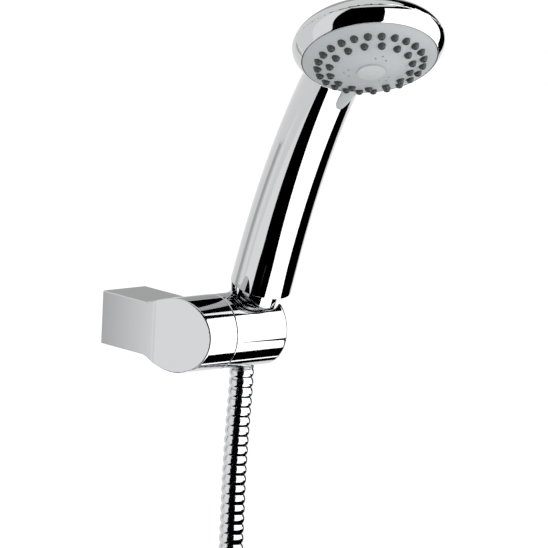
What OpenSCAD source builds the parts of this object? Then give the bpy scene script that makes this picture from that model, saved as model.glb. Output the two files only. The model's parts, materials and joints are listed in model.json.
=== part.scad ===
// Handheld shower set: a wall bracket with a turning holder, a handset with a
// selector face, and a metal hose. Millimetres, +Z up. The origin is the centre of
// the wall face, the room is towards -Y and the bracket's arm runs along +X.

/* [Wall bracket] */
// Width of the block
block_w = 31; // [28:0.5:38]
// Height of the block
block_h = 30; // [26:0.5:34]
// Distance from the wall to the arm's axis
reach = 59; // [54:1:72]
// How far the arm's axis is below the block's centre
arm_drop = 1; // [0:0.25:2]
// Diameter of the arm
arm_d = 42; // [40:0.5:50]
// Radius of the fillets between the block and the arm
arm_fillet_r = 6; // [3:0.5:9]
// Slant of the disc face, seen from above
disc_slant = 22; // [10:1:30]
// Distance from the block's left side to the disc face at the arm's axis
disc_inset = 5; // [2:0.5:8]
// Width of the hollow for the wall plate
hollow_w = 25; // [24:0.5:27]
// Depth of the hollow for the wall plate
hollow_depth = 30; // [18:1:34]

/* [Wall plate] */
// Thickness of the wall plate
plate_t = 3; // [2:0.5:4]
// Radius of a wall screw hole
screw_hole_r = 2.25; // [1.75:0.25:2.75]
// Distance between the two wall screw holes
screw_spacing = 15; // [13:0.5:16]
// Diameter of the grub screw
grub_d = 4; // [3:0.5:5]

/* [Pivot] */
// Diameter of the pivot screw
pivot_d = 6; // [5:0.5:8]
// Outer diameter of the brass insert
insert_d = 10; // [9:0.5:12]
// Length of the brass insert
insert_len = 13; // [8:1:15]

/* [Holder] */
// Length of the holder along the arm
holder_len = 37; // [36:0.5:44]
// Distance from the holder's outer end to the socket's axis
socket_inset = 11.3; // [10.5:0.1:14]
// Lean of the socket towards the room
lean = 18; // [0:1:30]
// Width of the slot that the hose passes through
slot_w = 17; // [15:0.5:18]
// Radius of the rounding at the holder's outer end
end_round = 3; // [1:0.5:4]

/* [Hose nut] */
// Radius of the cone at its small end
cone_bot_r = 9.4; // [9:0.1:10]
// Radius of the cone at the handle
cone_top_r = 10.9; // [10.5:0.1:11.5]
// Radius of the G1/2 thread
thread_r = 10.45; // [10.3:0.05:10.5]
// Wall of the nut round its thread
nut_wall = 1.85; // [1.5:0.05:2.2]

/* [Handset] */
// Turn of the handset in its socket
twist = -22.6; // [-45:0.1:45]
// Radius of the handle at its lower end
handle_bot_r = 17.3; // [17:0.1:19]
// Radius of the handle below the head
handle_top_r = 16.2; // [15:0.1:17]
// Wall of the handle
handle_wall = 2.4; // [1.6:0.1:2.6]
// Radius of the handle's forward curve
handle_curve_r = 330; // [300:5:360]

/* [Head] */
// Radius of the face plate
face_r = 37.3; // [37:0.1:40]
// Rise of the face plate's dome
face_rise = 9.3; // [7:0.1:11]
// Thickness of the face plate
face_t = 2; // [1.5:0.1:2.5]
// Gap between the face plate and the chrome ring
face_gap = 0.35; // [0.25:0.05:0.6]
// Radius of the head at its widest
head_r = 42.3; // [42:0.1:46]
// Depth of the back shell's dome
bowl_depth = 17; // [15:0.5:22]
// Tilt of the spray direction below the handle's square line
spray_tilt = 33; // [20:1:45]

/* [Nozzles] */
// Number of nozzles in the outer ring
outer_count = 24; // [16:1:24]
// Radius of the outer ring of nozzles
outer_ring_r = 29.3; // [28.5:0.1:30]
// Number of nozzles in the inner ring
inner_count = 15; // [10:1:16]
// Radius of the inner ring of nozzles
inner_ring_r = 23; // [22:0.1:23.5]
// Radius of a nozzle at its foot
nozzle_r = 2.2; // [1.6:0.1:2.4]
// How far a nozzle stands out of the face
nozzle_h = 2.6; // [1.5:0.1:3.5]
// Radius of a mist hole
mist_r = 0.5; // [0.3:0.1:0.7]

/* [Hose] */
// Diameter of the hose
hose_d = 14; // [13:0.5:15]
// Diameter of the stored coil, at the middle of its turns
coil_d = 168; // [160:2:172]
// Turns in the stored coil
coil_turns = 2.125; // [2:0.125:2.5]
// Distance between neighbouring turns
turn_pitch = 16; // [15:0.5:18]

/* [Clearances] */
// Gap between bodies that move past each other
gap = 0.3; // [0.2:0.05:0.4]
// Radial running fit of a pin in its bore
run_fit = 0.05; // [0.02:0.01:0.08]
// Radial clearance of a piece that sits still in its seat
seat_fit = 0.1; // [0.05:0.05:0.2]

/* [Hidden] */
$fn = 64;
arm_r = arm_d / 2;
holder_x0 = block_w / 2 + 1.7 + gap;
holder_x1 = holder_x0 + holder_len;
socket_x = holder_x1 - socket_inset;
drum_x1 = holder_x0 - gap;
hollow_h = block_h - 6;
grub_y = -9;
flange_h = 2.6;
screw_row_z = 2;
washer_t = 1.5;
washer_r = 13.5;
pivot_head_r = 5.5;
pivot_head_t = 3;
spring_t = 1.3;
head_x = holder_x0 + 9;

// Heights along the socket's axis, from the arm's axis.
nut_bot = -18;
handle_bot = 27;
nut_shoulder = 29;
flange_t = 1;
seal_t = 2;
spigot_bot = nut_shoulder + flange_t + seal_t + 3 * seat_fit;
nut_top = 41;
spigot_flange = 42;
spigot_flange_t = 3;
handle_back = 0.6;
spigot_flange_r = handle_bot_r - handle_wall - handle_back - 3 * seat_fit;
spigot_top = 58;
tube_seat = 50;
collar_r = thread_r + nut_wall;
ferrule_r = 6;
ferrule_bore = 4.6;
seal_r = thread_r - 0.25;
water_r = 6;
tongue_top = handle_bot - 0.6;
tongue_top_r = handle_bot_r - 0.3;

// The cone of the nut as a radius at height u.
cone_slope = (cone_top_r - cone_bot_r) / (handle_bot - nut_bot);
function cone_r(u) = cone_bot_r + (u - nut_bot) * cone_slope;

// The handle's centreline in the handset's own YZ plane: forward offset and height.
curve_start = 46;
curve_turn = 24;
function arc_point(a) =
    [0, handle_back - handle_curve_r * (1 - cos(a)), curve_start + handle_curve_r * sin(a)];

// Place of the face: the centre of the face plate's edge.
face_y = -70.6;
face_z = 205.2;
// A point behind the face, given along the face's own up line and its normal.
function behind_face(up, out) = [
    0,
    face_y - up * sin(spray_tilt) - out * cos(spray_tilt),
    face_z + up * cos(spray_tilt) - out * sin(spray_tilt)
];

neck_entry = arc_point(curve_turn);
neck_mid = behind_face(-28, -21.5);
neck_end = behind_face(-12, -20.5);
neck_nose = behind_face(6, -19.5);
neck_r = 13.8;

// The face dome's sphere.
dome_r = (face_r * face_r + face_rise * face_rise) / (2 * face_rise);
dome_z = face_rise - dome_r;
function dome_at(r) = dome_z + sqrt(dome_r * dome_r - r * r);

// Depths behind the face plate's edge.
skirt_depth = 4;
ring_back = 8.6;
bowl_front = ring_back + 0.1;
ring_bore = face_r + face_gap;
bowl_wall = 2.2;
chamber_top = -6.2;
chamber_bot = -8.4;
disc_top = -3.6;
disc_bot = -5.6;
hub_bot = 2.4;
screw_r = 2.5;
cap_r = 7.7;
outer_start = 7.7;
inner_start = 22.7;
detent_r = 28;
detent_angle = 50;
ball_r = 1.5;

// Route of the hose from the nut to the coil, and of its tail after the coil.
hose_route = [
    [43.2, -53.2, -15], [43.2, -53.7, -28], [43.2, -53.2, -40], [43.2, -52.4, -52],
    [43.2, -51.8, -64], [43.2, -51.3, -76], [43.2, -51, -88], [43.2, -51, -100],
    [43.2, -51, -114], [43.2, -51, -132], [43.2, -51, -150], [40, -51, -168.5],
    [31.5, -51, -185.5], [18.5, -51, -198.5], [1, -51, -207.5], [-16, -51, -216],
    [-29.5, -51, -229], [-38, -51, -246], [-40.8, -51, -264.5]
];
coil_x = 43.2;
coil_y = -51;
coil_z = -264.5;
tail_route = [
    [-16.2, -85, -323.9], [-8, -85, -333], [-2, -85, -344], [0.6, -85, -355], [1.2, -85, -366.5]
];
tail_x = 1.2;
tail_y = -85;
tail_z = -366;
sleeve_len = 6;
neck_len = 7;
end_flange = 1.2;
end_nut_len = 17.5;
nut_flat = 24;
thread_relief = 0.6;

// ---- places ----

// Along the arm: local Z is +X, local X is +Y and local Y is +Z.
module on_arm() {
    translate([0, -reach, -arm_drop]) rotate([90, 0, 90]) children();
}

// On the socket's axis: local Z runs up the handset, local -Y points to the room.
module on_socket() {
    translate([socket_x, -reach, -arm_drop]) rotate([lean, 0, 0]) children();
}

module on_handset() {
    on_socket() rotate([0, 0, twist]) children();
}

// On the face: local Z is the spray direction, local Y points away from the handle.
module on_face() {
    on_handset()
        translate([0, face_y, face_z]) rotate([90 + spray_tilt, 0, 0]) children();
}

module ring(outer_r, inner_r, h) {
    difference() {
        cylinder(r = outer_r, h = h);
        translate([0, 0, -1]) cylinder(r = inner_r, h = h + 2);
    }
}

// ---- sweeps ----

function unit(v) = v / norm(v);

function heading(path, i) =
    unit(path[min(i + 1, len(path) - 1)] - path[max(i - 1, 0)]);

// One ring of a sweep: side is a direction that the path never follows.
function sweep_ring(path, i, r, side, n) =
    let (t = heading(path, i), a = unit(cross(t, side)), b = cross(t, a))
    [for (k = [0:n - 1]) path[i] + r * (cos(360 * k / n) * a + sin(360 * k / n) * b)];

function sweep_points(path, radii, side, n) =
    [for (i = [0:len(path) - 1]) each sweep_ring(path, i, radii[i], side, n)];

// Side faces between the rings, from point number first.
function sweep_walls(rings, n, first, inward) = [
    for (i = [0:rings - 2], k = [0:n - 1])
        let (
            a = first + i * n + k,
            b = first + i * n + (k + 1) % n
        )
        inward ? [a, a + n, b + n, b] : [a, b, b + n, a + n]
];

module swept_rod(path, radii, side, n) {
    m = len(path);
    polyhedron(
        points = sweep_points(path, radii, side, n),
        faces = concat(
            sweep_walls(m, n, 0, true),
            [[for (k = [0:n - 1]) k]],
            [[for (k = [n - 1:-1:0]) (m - 1) * n + k]]
        ),
        convexity = 6
    );
}

module swept_pipe(path, outer, inner, side, n) {
    m = len(path);
    polyhedron(
        points = concat(sweep_points(path, outer, side, n), sweep_points(path, inner, side, n)),
        faces = concat(
            sweep_walls(m, n, 0, true),
            sweep_walls(m, n, m * n, false),
            [for (k = [0:n - 1]) let (j = (k + 1) % n) [k, j, m * n + j, m * n + k]],
            [for (k = [0:n - 1])
                let (j = (k + 1) % n, e = (m - 1) * n)
                [e + j, e + k, m * n + e + k, m * n + e + j]]
        ),
        convexity = 8
    );
}

// ---- wall bracket ----

// Fills the corner between the arm and a block face at this height above the axis.
module corner_fill(edge) {
    centre_z = edge + arm_fillet_r;
    centre_y = sqrt(pow(arm_r + arm_fillet_r, 2) - centre_z * centre_z);
    difference() {
        polygon([[0, 0], [centre_y, 0], [centre_y, centre_z]]);
        translate([centre_y, centre_z]) circle(r = arm_fillet_r);
    }
}

module bracket_body() {
    disc_x = -block_w / 2 + disc_inset;
    color([0.80, 0.81, 0.82]) difference() {
        union() {
            translate([-block_w / 2, -reach, -block_h / 2]) cube([block_w, reach, block_h]);
            on_arm() translate([0, 0, -block_w / 2]) {
                cylinder(r = arm_r, h = drum_x1 + block_w / 2);
                linear_extrude(block_w) {
                    corner_fill(block_h / 2 + arm_drop);
                    mirror([0, 1]) corner_fill(block_h / 2 - arm_drop);
                }
            }
        }
        translate([disc_x, -reach, 0]) rotate([0, 0, disc_slant])
            translate([-80, -80, -80]) cube([80, 160, 160]);
        translate([-hollow_w / 2, -hollow_depth, -hollow_h / 2])
            cube([hollow_w, hollow_depth + 1, hollow_h]);
        on_arm() translate([0, 0, drum_x1 - insert_len - 3])
            cylinder(r = pivot_d / 2 + gap, h = insert_len + 4);
        on_arm() translate([0, 0, drum_x1 - insert_len])
            cylinder(r = insert_d / 2, h = insert_len + 1);
        translate([0, grub_y, -block_h / 2 - 1]) cylinder(r = grub_d / 2, h = 10);
    }
}

// The plate that is screwed to the wall, with the flange that the grub screw holds.
module wall_plate() {
    w = hollow_w - 2 * seat_fit;
    h = hollow_h - 2 * seat_fit;
    flange_len = 11;
    color([0.62, 0.63, 0.65]) difference() {
        union() {
            translate([-w / 2, -plate_t, -h / 2]) cube([w, plate_t, h]);
            translate([-w / 2, -plate_t - flange_len, -h / 2])
                cube([w, flange_len + 1, flange_h]);
        }
        for (side = [-1, 1])
            translate([side * screw_spacing / 2, 1, screw_row_z]) rotate([90, 0, 0])
                cylinder(r = screw_hole_r, h = plate_t + 2);
    }
}

module grub_screw() {
    tip_z = -hollow_h / 2 + seat_fit;
    color([0.35, 0.36, 0.38]) translate([0, grub_y, -block_h / 2 + 0.5]) difference() {
        cylinder(r = grub_d / 2, h = tip_z + block_h / 2 - 0.5);
        translate([0, 0, -1]) cylinder(r = grub_d / 4, h = 2.5, $fn = 6);
    }
}

// ---- pivot ----

module pivot_insert() {
    color([0.78, 0.62, 0.30]) on_arm() translate([0, 0, drum_x1 - insert_len])
        ring(insert_d / 2, pivot_d / 2, insert_len);
}

module pivot_screw() {
    color([0.70, 0.71, 0.73]) on_arm() difference() {
        union() {
            translate([0, 0, drum_x1 - insert_len])
                cylinder(r = pivot_d / 2, h = head_x - drum_x1 + insert_len);
            translate([0, 0, head_x]) cylinder(r = pivot_head_r, h = pivot_head_t);
        }
        translate([0, 0, head_x + pivot_head_t - 2]) cylinder(r = 2.2, h = 3, $fn = 6);
    }
}

module friction_washer() {
    color([0.90, 0.90, 0.88]) on_arm() translate([0, 0, drum_x1])
        ring(washer_r, pivot_d / 2 + gap, washer_t);
}

// A dished spring washer under the head of the pivot screw.
module spring_washer() {
    inner = pivot_d / 2 + run_fit;
    dish = 0.5;
    t = 0.7;
    color([0.45, 0.47, 0.50]) on_arm() translate([0, 0, head_x - spring_t])
        rotate_extrude() polygon([
            [inner, dish], [pivot_head_r, 0.1], [pivot_head_r, 0.1 + t], [inner, dish + t]
        ]);
}

// ---- holder ----

module socket_cone(extra) {
    from = nut_bot - 12;
    to = handle_bot + 20;
    translate([0, 0, from])
        cylinder(r1 = cone_r(from) + extra, r2 = cone_r(to) + extra, h = to - from);
}

// The rounded mouths at the top and the bottom of the socket.
module socket_mouths() {
    mouth_u = 14;
    mouth_h = 14;
    foot_u = -13;
    foot_h = 12;
    translate([0, 0, mouth_u])
        cylinder(r1 = cone_r(mouth_u) + gap, r2 = cone_r(mouth_u) + gap + 3.2, h = mouth_h);
    translate([0, 0, foot_u - foot_h])
        cylinder(r1 = cone_r(foot_u) + gap + 5, r2 = cone_r(foot_u) + gap, h = foot_h);
}

// The raised tongue behind the nut: a third of a flared ring, on the wall's side.
module back_tongue() {
    from = 8;
    flare = 0.22;
    bot_r = tongue_top_r - (tongue_top - from) * flare;
    reach_out = 40;
    intersection() {
        translate([0, 0, from])
            cylinder(r1 = bot_r, r2 = tongue_top_r, h = tongue_top - from);
        linear_extrude(tongue_top + 1)
            polygon([[0, 0], [reach_out, reach_out * tan(30)], [0, 2 * reach_out],
                [-reach_out, reach_out * tan(30)]]);
    }
}

module holder_drum() {
    color([0.82, 0.83, 0.84]) difference() {
        union() {
            on_arm() translate([0, 0, holder_x0]) {
                cylinder(r = arm_r, h = holder_len - end_round);
                cylinder(r = arm_r - end_round, h = holder_len);
                translate([0, 0, holder_len - end_round]) rotate_extrude() {
                    translate([arm_r - end_round, 0]) intersection() {
                        circle(r = end_round);
                        square(end_round);
                    }
                }
            }
            on_socket() back_tongue();
        }
        on_socket() {
            socket_cone(gap);
            socket_mouths();
            translate([0, -slot_w / 2, -40]) cube([40, slot_w, 80]);
        }
        on_arm() {
            translate([0, 0, holder_x0 - 1]) cylinder(r = washer_r + gap, h = washer_t + 1);
            translate([0, 0, holder_x0]) cylinder(r = pivot_d / 2 + run_fit, h = 20);
            translate([0, 0, head_x - spring_t - 0.2])
                cylinder(r = pivot_head_r + gap, h = socket_x - head_x + spring_t);
        }
    }
}

// ---- hose end in the handset ----

module hose_top_ferrule() {
    color([0.76, 0.62, 0.34]) on_socket() difference() {
        union() {
            translate([0, 0, nut_bot]) cylinder(r = ferrule_r, h = nut_shoulder - nut_bot);
            translate([0, 0, nut_shoulder + seat_fit])
                cylinder(r = seal_r, h = flange_t - seat_fit);
            translate([0, 0, nut_shoulder - 1]) cylinder(r = ferrule_r, h = 1 + flange_t);
        }
        translate([0, 0, nut_bot - 1]) cylinder(r = ferrule_bore, h = 60);
    }
}

module hose_cone_nut() {
    floor_t = 5;
    cavity_r = 8.2;
    color([0.80, 0.81, 0.83]) on_handset() difference() {
        union() {
            translate([0, 0, nut_bot])
                cylinder(r1 = cone_bot_r, r2 = cone_top_r, h = handle_bot - nut_bot);
            translate([0, 0, handle_bot]) cylinder(r = collar_r, h = nut_top - handle_bot);
        }
        translate([0, 0, nut_bot - 1]) cylinder(r = ferrule_r + run_fit, h = floor_t + 2);
        translate([0, 0, nut_bot + floor_t])
            cylinder(r = cavity_r, h = nut_shoulder - nut_bot);
        translate([0, 0, nut_shoulder]) cylinder(r = thread_r, h = nut_top);
    }
}

module hose_top_seal() {
    color([0.15, 0.15, 0.16]) on_handset()
        translate([0, 0, nut_shoulder + flange_t + seat_fit])
            ring(seal_r, ferrule_bore + 1, seal_t);
}

// ---- handset ----

module inlet_spigot() {
    color([0.55, 0.56, 0.58]) on_handset() difference() {
        union() {
            translate([0, 0, spigot_bot])
                cylinder(r = thread_r - run_fit, h = spigot_flange - spigot_bot);
            translate([0, 0, spigot_flange])
                cylinder(r = spigot_flange_r, h = spigot_flange_t);
            translate([0, 0, spigot_flange])
                cylinder(r = water_r + 1.6, h = spigot_top - spigot_flange);
        }
        translate([0, 0, spigot_bot - 1]) cylinder(r = water_r - 1, h = 60);
        translate([0, 0, tube_seat]) cylinder(r = water_r + seat_fit, h = 60);
    }
}

module flow_restrictor() {
    color([0.20, 0.45, 0.30]) on_handset() translate([0, 0, spigot_bot + 2])
        ring(water_r - 1 - seat_fit, 2, 3);
}

// Handle path from its lower end, along its curve, to its nose inside the head.
handle_path = concat(
    [[0, handle_back, handle_bot], [0, handle_back, (handle_bot + curve_start) / 2]],
    [for (a = [0:4:curve_turn]) arc_point(a)],
    [neck_mid, neck_end, neck_nose]
);
handle_radii = concat(
    [handle_bot_r, handle_bot_r],
    [for (a = [0:4:curve_turn - 4])
        handle_bot_r + (handle_top_r - handle_bot_r) * a / (curve_turn - 4)],
    [neck_r, 11.5, 8.5, 5]
);

module handle_shell() {
    sides = 32;
    bore = [for (r = handle_radii) r - handle_wall];
    port = behind_face(-13, -20);
    color([0.83, 0.84, 0.85]) on_handset() difference() {
        swept_pipe(handle_path, handle_radii, bore, [1, 0, 0], sides);
        translate(port) rotate([90 + spray_tilt, 0, 0])
            cylinder(r = water_r + gap, h = 20);
    }
}

// The waterway from the spigot to the back of the water chamber.
module water_tube() {
    path = concat(
        [[0, 0, tube_seat], [0, 0, spigot_top + 6]],
        [for (a = [8:4:curve_turn]) arc_point(a)],
        [behind_face(-26, -22), behind_face(-17, -20.5), behind_face(-13, -17),
            behind_face(-13, chamber_bot - seat_fit)]
    );
    n = len(path);
    color([0.88, 0.88, 0.85]) on_handset() swept_pipe(
        path,
        [for (i = [0:n - 1]) i < n - 4 ? water_r : water_r - 1.4],
        [for (i = [0:n - 1]) i < n - 4 ? water_r - 1.3 : water_r - 2.6],
        [1, 0, 0], 12
    );
}

// ---- head ----

// The back shell's outline, as radius and depth, at this many degrees from the rim.
function bowl_point(a, inset) = [
    max(0, (head_r - inset) * cos(a)), -bowl_front - (bowl_depth - inset) * sin(a)
];

module head_shell() {
    step = 7.5;
    color([0.83, 0.84, 0.85]) difference() {
        on_face() rotate_extrude() polygon(concat(
            [for (a = [0:step:90]) bowl_point(a, 0)],
            [for (a = [90:-step:0]) bowl_point(a, bowl_wall)]
        ));
        on_handset() hull() {
            translate(arc_point(curve_turn - 4)) sphere(r = handle_top_r + 2 * gap, $fn = 32);
            translate(neck_entry) sphere(r = neck_r + gap, $fn = 24);
            translate(neck_mid) sphere(r = 11.5 + gap, $fn = 24);
            translate(neck_end) sphere(r = 8.5 + gap, $fn = 24);
            translate(neck_nose) sphere(r = 5 + gap, $fn = 24);
        }
    }
}

module head_ring() {
    bulge = head_r - ring_bore - 0.35;
    steps = 6;
    color([0.85, 0.86, 0.87]) on_face() rotate_extrude() polygon(concat(
        [for (i = [0:steps])
            [ring_bore + 0.35 + bulge * sin(90 * i / steps), -ring_back * i / steps]],
        [[ring_bore, -ring_back], [ring_bore, 0]]
    ));
}

// The fixed plate behind the selector disc, with the boss that the screw goes into.
module chamber_plate() {
    rim = face_r - 0.2;
    color([0.25, 0.26, 0.28]) on_face() difference() {
        union() {
            translate([0, 0, chamber_bot]) cylinder(r = rim, h = chamber_top - chamber_bot);
            translate([0, 0, chamber_bot]) cylinder(r = 5, h = hub_bot - gap - chamber_bot);
            translate([0, 0, -12]) cylinder(r = 5, h = 12 + chamber_bot + 1);
            rotate([0, 0, detent_angle]) translate([detent_r, 0, -14.5])
                cylinder(r = 3, h = 7);
        }
        translate([0, 0, -20]) cylinder(r = screw_r, h = 40);
        rotate([0, 0, detent_angle]) translate([detent_r, 0, -13.5])
            cylinder(r = ball_r + seat_fit, h = 20);
        translate([0, -13, chamber_bot - 1]) cylinder(r = 4, h = 8);
        for (i = [0:5])
            rotate([0, 0, 60 * i + 20]) translate([19, 0, chamber_bot - 1])
                cylinder(r = 2.5, h = 8);
        translate([0, 0, -8.1]) ring(rim + 1, rim - 1.6, 1.6);
    }
}

module chamber_seal() {
    color([0.12, 0.12, 0.13]) on_face() translate([0, 0, -7.3])
        rotate_extrude() translate([face_r - 0.8, 0]) circle(r = 0.75, $fn = 24);
}

module centre_screw() {
    head_z = hub_bot + 2.6;
    color([0.72, 0.72, 0.70]) on_face() difference() {
        union() {
            translate([0, 0, -12]) cylinder(r = screw_r, h = 12 + head_z);
            translate([0, 0, head_z]) cylinder(r = 4.2, h = 2);
        }
        translate([0, 0, head_z + 0.9]) cylinder(r = 1.6, h = 2, $fn = 6);
    }
}

module detent_ball() {
    color([0.70, 0.72, 0.75]) on_face() rotate([0, 0, detent_angle])
        translate([detent_r, 0, disc_bot - 0.15 - ball_r]) sphere(r = ball_r);
}

module detent_spring() {
    turns = 5;
    per_turn = 10;
    bottom = -13.2;
    top = disc_bot - 0.15 - 2 * ball_r - 0.4;
    coil_r = 1.05;
    wire_r = 0.22;
    count = turns * per_turn;
    helix = [for (i = [0:count])
        let (a = 360 * i / per_turn)
        [coil_r * cos(a), coil_r * sin(a), bottom + (top - bottom) * i / count]];
    color([0.60, 0.62, 0.65]) on_face() rotate([0, 0, detent_angle])
        translate([detent_r, 0, 0])
            swept_rod(helix, [for (p = helix) wire_r], [0, 0, 1], 6);
}

// ---- selector face ----

module on_ring(count, r, start) {
    for (i = [0:count - 1])
        rotate([0, 0, start + 360 * i / count]) translate([r, 0, 0]) children();
}

// Three groups of three mist holes.
module mist_holes() {
    for (a = [84, 204, 324]) {
        rotate([0, 0, a]) translate([15, 0, 0]) cylinder(r = mist_r, h = 20);
        for (side = [-14.5, 14.5])
            rotate([0, 0, a + side]) translate([12.7, 0, 0]) cylinder(r = mist_r, h = 20);
    }
}

module face_plate() {
    color([0.66, 0.69, 0.70]) on_face() difference() {
        union() {
            difference() {
                intersection() {
                    translate([0, 0, dome_z]) sphere(r = dome_r);
                    translate([0, 0, -skirt_depth]) cylinder(r = face_r, h = 40);
                }
                translate([0, 0, dome_z]) sphere(r = dome_r - face_t);
                translate([0, 0, -skirt_depth - 1])
                    cylinder(r = face_r - face_t, h = skirt_depth + 1);
            }
            translate([0, 0, hub_bot]) cylinder(r = 7, h = face_rise - face_t / 2 - hub_bot);
        }
        cylinder(r = screw_r + run_fit, h = 20);
        translate([0, 0, hub_bot + 2.5]) cylinder(r = 4.2 + gap, h = 20);
        on_ring(outer_count, outer_ring_r, outer_start)
            cylinder(r = nozzle_r + seat_fit, h = 20);
        on_ring(inner_count, inner_ring_r, inner_start)
            cylinder(r = nozzle_r + seat_fit, h = 20);
        mist_holes();
    }
}

module centre_cap() {
    cap_t = 0.8;
    color([0.70, 0.73, 0.74]) on_face() difference() {
        intersection() {
            translate([0, 0, dome_z]) sphere(r = dome_r + cap_t);
            cylinder(r = cap_r, h = 40);
        }
        translate([0, 0, dome_z]) sphere(r = dome_r);
    }
}

// A rubber nozzle that passes through the face plate at this distance from its centre.
module nozzle(r) {
    foot_z = dome_at(r) - face_t - 1.6;
    tip_z = dome_at(r) + nozzle_h;
    tip_r = nozzle_r * 0.7;
    straight = face_t + 1.2;
    difference() {
        union() {
            translate([0, 0, foot_z]) cylinder(r = nozzle_r, h = straight);
            translate([0, 0, foot_z + straight])
                cylinder(r1 = nozzle_r, r2 = tip_r, h = tip_z - foot_z - straight);
        }
        translate([0, 0, foot_z - 1]) cylinder(r = 0.6, h = 20);
    }
}

module outer_nozzles() {
    color([0.25, 0.27, 0.28]) on_face()
        on_ring(outer_count, outer_ring_r, outer_start) nozzle(outer_ring_r);
}

module inner_nozzles() {
    color([0.25, 0.27, 0.28]) on_face()
        on_ring(inner_count, inner_ring_r, inner_start) nozzle(inner_ring_r);
}

// The disc that opens one set of water ways, driven by its three posts.
module diverter_disc() {
    post_r = 1.3;
    post_ring = 18.5;
    post_top = dome_at(post_ring + post_r) - face_t - 0.3;
    color([0.90, 0.90, 0.86]) on_face() {
        difference() {
            translate([0, 0, disc_bot]) cylinder(r = 33, h = disc_top - disc_bot);
            translate([0, 0, disc_bot - 1]) cylinder(r = 5 + gap, h = 5);
            for (i = [0:2])
                rotate([0, 0, 120 * i + 80]) translate([19, 0, disc_bot - 1])
                    cylinder(r = 2.5, h = 5);
        }
        for (i = [0:2])
            rotate([0, 0, 120 * i + 24]) translate([post_ring, 0, disc_top - 0.5])
                cylinder(r = post_r, h = post_top - disc_top + 0.5);
    }
}

module selector_lever() {
    root_y = -31.6;
    tip_y = -50;
    root_w = 7.4;
    tip_r = 1.9;
    lever_bot = 0.45;
    lever_top = 4.6;
    color([0.70, 0.73, 0.74]) on_face() difference() {
        translate([0, 0, lever_bot]) linear_extrude(lever_top - lever_bot)
            polygon(concat(
                [[root_w / 2, root_y], [-root_w / 2, root_y]],
                [for (a = [180:15:360]) [tip_r * cos(a), tip_y + tip_r * sin(a)]]
            ));
        translate([0, 0, dome_z]) sphere(r = dome_r);
    }
}

// ---- hose ----

module hose_tube() {
    color([0.74, 0.75, 0.77]) difference() {
        swept_rod(hose_route, [for (p = hose_route) hose_d / 2], [0, 1, 0], 12);
        on_socket() translate([0, 0, nut_bot - seat_fit]) cylinder(r = hose_d, h = hose_d);
    }
}

module hose_coil() {
    outer_r = (coil_d + hose_d) / 2;
    inner_r = (coil_d - hose_d) / 2;
    depth = hose_d + turn_pitch * coil_turns;
    color([0.74, 0.75, 0.77]) translate([coil_x, coil_y + hose_d / 2, coil_z])
        rotate([90, 0, 0]) ring(outer_r, inner_r, depth);
}

// The strap that holds the turns together, round the coil's right side.
module coil_tie() {
    strap = 1.2;
    strap_w = 14;
    w = hose_d + 2 * seat_fit + 0.8;
    depth = hose_d + turn_pitch * coil_turns + 2 * seat_fit;
    color([0.12, 0.12, 0.13])
        translate([coil_x + coil_d / 2, coil_y + hose_d / 2 + seat_fit - depth / 2, coil_z])
            difference() {
                cube([w + 2 * strap, depth + 2 * strap, strap_w], center = true);
                cube([w, depth, strap_w + 2], center = true);
            }
}

module hose_tail() {
    color([0.74, 0.75, 0.77]) difference() {
        swept_rod(tail_route, [for (p = tail_route) hose_d / 2], [0, 1, 0], 12);
        on_tail() translate([0, 0, -seat_fit]) cylinder(r = hose_d, h = hose_d);
    }
}

// At the hose's far end: local Z points out of the hose, downwards.
module on_tail() {
    translate([tail_x, tail_y, tail_z]) rotate([180, 0, 0]) children();
}

module hose_end_ferrule() {
    color([0.76, 0.62, 0.34]) on_tail() difference() {
        union() {
            translate([0, 0, seat_fit]) cylinder(r = 7.6, h = sleeve_len - seat_fit);
            cylinder(r = ferrule_r, h = sleeve_len + neck_len + end_flange);
            translate([0, 0, sleeve_len + neck_len]) cylinder(r = seal_r, h = end_flange);
        }
        translate([0, 0, -1]) cylinder(r = ferrule_bore, h = 40);
    }
}

module hose_end_nut() {
    floor_t = neck_len - 2 * gap;
    seat_len = end_flange + seal_t + 3 * seat_fit + gap;
    color([0.80, 0.81, 0.83]) on_tail() translate([0, 0, sleeve_len + gap]) difference() {
        cylinder(r = nut_flat / 2 / cos(30), h = end_nut_len, $fn = 6);
        translate([0, 0, -1]) cylinder(r = ferrule_r + run_fit, h = floor_t + 2);
        translate([0, 0, floor_t]) cylinder(r = thread_r + thread_relief, h = seat_len);
        translate([0, 0, floor_t + seat_len - 0.01]) cylinder(r = thread_r, h = end_nut_len);
    }
}

module hose_end_seal() {
    color([0.15, 0.15, 0.16]) on_tail()
        translate([0, 0, sleeve_len + neck_len + end_flange + seat_fit])
            ring(seal_r, ferrule_bore + 1, seal_t);
}

bracket_body();
wall_plate();
grub_screw();
pivot_insert();
pivot_screw();
friction_washer();
spring_washer();
holder_drum();
hose_top_ferrule();
hose_cone_nut();
hose_top_seal();
inlet_spigot();
flow_restrictor();
handle_shell();
water_tube();
head_shell();
head_ring();
chamber_plate();
chamber_seal();
centre_screw();
detent_ball();
detent_spring();
face_plate();
centre_cap();
outer_nozzles();
inner_nozzles();
diverter_disc();
selector_lever();
hose_tube();
hose_coil();
coil_tie();
hose_tail();
hose_end_ferrule();
hose_end_nut();
hose_end_seal();
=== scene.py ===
# %% [markdown]
# # A handheld shower set in chrome
# The set has a square wall bracket with a turning holder, a handset with a selector
# face, and a metal hose. The sizes in this script repeat those of the imported CAD
# model. Most visible pieces are made again with a finer surface and a real finish.
# The CAD frame is loaded first. Most pieces ride on one of the set's bodies; the hose does not.

import json
import math

import bmesh
import bpy
import numpy as np
from mathutils import Matrix, Vector


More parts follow.
